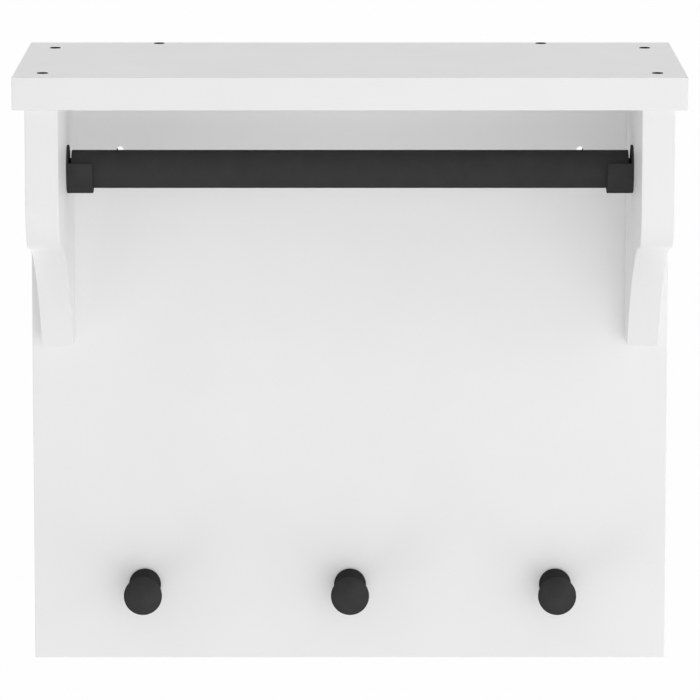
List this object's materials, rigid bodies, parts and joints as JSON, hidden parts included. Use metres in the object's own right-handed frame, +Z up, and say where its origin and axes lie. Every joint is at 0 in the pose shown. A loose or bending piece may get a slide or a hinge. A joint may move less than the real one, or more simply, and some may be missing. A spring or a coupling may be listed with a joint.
{
  "type": "wall hook rack",
  "caption": "Wall rack with a thick shelf on corbel brackets, a lift-out round hanging rail under it and round knob hooks low on its back panel.",
  "frame": {"origin": "on the back panel's rear face, midway between the two wall-fixing holes", "axes": "+X to the viewer's right along the shelf, +Y out of the rear face into the wall, +Z up"},
  "size_m": [0.6, 0.3, 0.5875],
  "materials": {
    "white_lacquered_board": "smooth satin white lacquer on engineered board",
    "black_rail": "fine matt black powder coat on steel tube",
    "black_socket": "matt black moulding",
    "black_knob": "matt black moulding",
    "black_sleeve": "black sleeve",
    "black_screw": "black-coated steel",
    "zinc_screw": "zinc-plated steel",
    "brass_insert": "turned brass",
    "beech_dowel": "plain beech"
  },
  "bodies": {
    "rack": {"shelf_board": "white_lacquered_board", "back_panel": "white_lacquered_board", "bracket_left": "white_lacquered_board", "bracket_right": "white_lacquered_board", "shelf_screw_front_left": "black_screw", "shelf_screw_rear_left": "black_screw", "shelf_to_panel_screw_left": "black_screw", "panel_screw_upper_left": "black_screw", "panel_screw_lower_left": "black_screw", "shelf_screw_front_right": "black_screw", "shelf_screw_rear_right": "black_screw", "shelf_to_panel_screw_right": "black_screw", "panel_screw_upper_right": "black_screw", "panel_screw_lower_right": "black_screw", "bracket_dowel_front_left": "beech_dowel", "bracket_dowel_rear_left": "beech_dowel", "shelf_to_panel_dowel_left": "beech_dowel", "panel_dowel_left": "beech_dowel", "bracket_dowel_front_right": "beech_dowel", "bracket_dowel_rear_right": "beech_dowel", "shelf_to_panel_dowel_right": "beech_dowel", "panel_dowel_right": "beech_dowel", "wall_hole_sleeve_left": "black_sleeve", "rail_socket_left": "black_socket", "socket_screw_upper_left": "black_screw", "socket_screw_lower_left": "black_screw", "wall_hole_sleeve_right": "black_sleeve", "rail_socket_right": "black_socket", "socket_screw_upper_right": "black_screw", "socket_screw_lower_right": "black_screw", "hook_knob_left": "black_knob", "knob_insert_left": "brass_insert", "knob_screw_left": "zinc_screw", "hook_knob_centre": "black_knob", "knob_insert_centre": "brass_insert", "knob_screw_centre": "zinc_screw", "hook_knob_right": "black_knob", "knob_insert_right": "brass_insert", "knob_screw_right": "zinc_screw"},
    "rail": {"rail_tube": "black_rail"}
  },
  "joints": [
    {"name": "rail_lift", "type": "slide", "parent": "rack", "child": "rail", "axis": [0, 0, 1], "range_m": [0, 0.054]}
  ]
}
